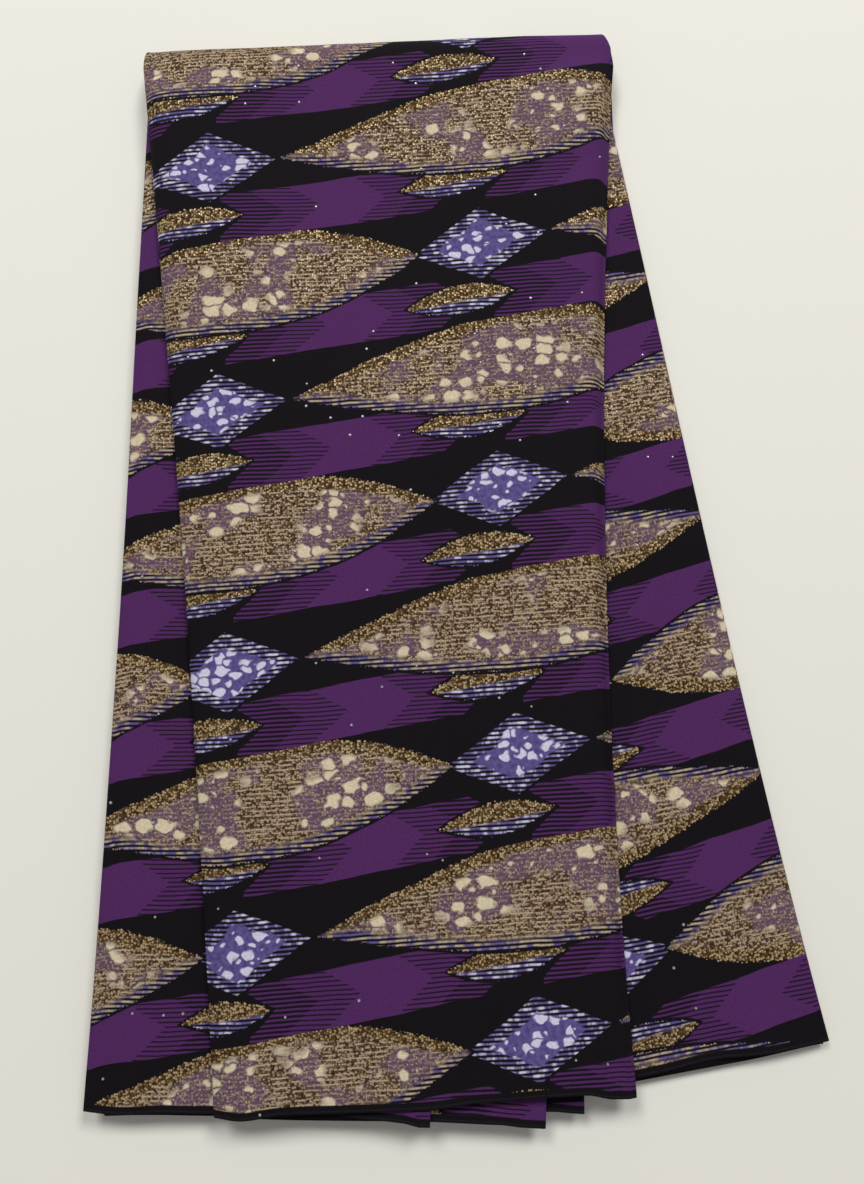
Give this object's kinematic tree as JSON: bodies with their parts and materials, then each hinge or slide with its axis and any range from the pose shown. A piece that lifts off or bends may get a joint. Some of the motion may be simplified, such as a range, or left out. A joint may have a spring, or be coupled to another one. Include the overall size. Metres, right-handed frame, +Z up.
{
  "type": "folded cloth",
  "caption": "Length of printed cotton cloth, pleated back and forth and folded over at one end, lying flat with its layers fanned out a little at the other.",
  "frame": {"origin": "middle of the box around the folded cloth, on its underside", "axes": "+X across the folded cloth, +Y towards the fold, +Z up from the surface it lies on"},
  "size_m": [0.382, 0.6054, 0.0245],
  "materials": {
    "cloth": "printed cotton, purple and black with gold and lilac"
  },
  "bodies": {
    "root": {"cloth": "cloth"}
  },
  "joints": []
}
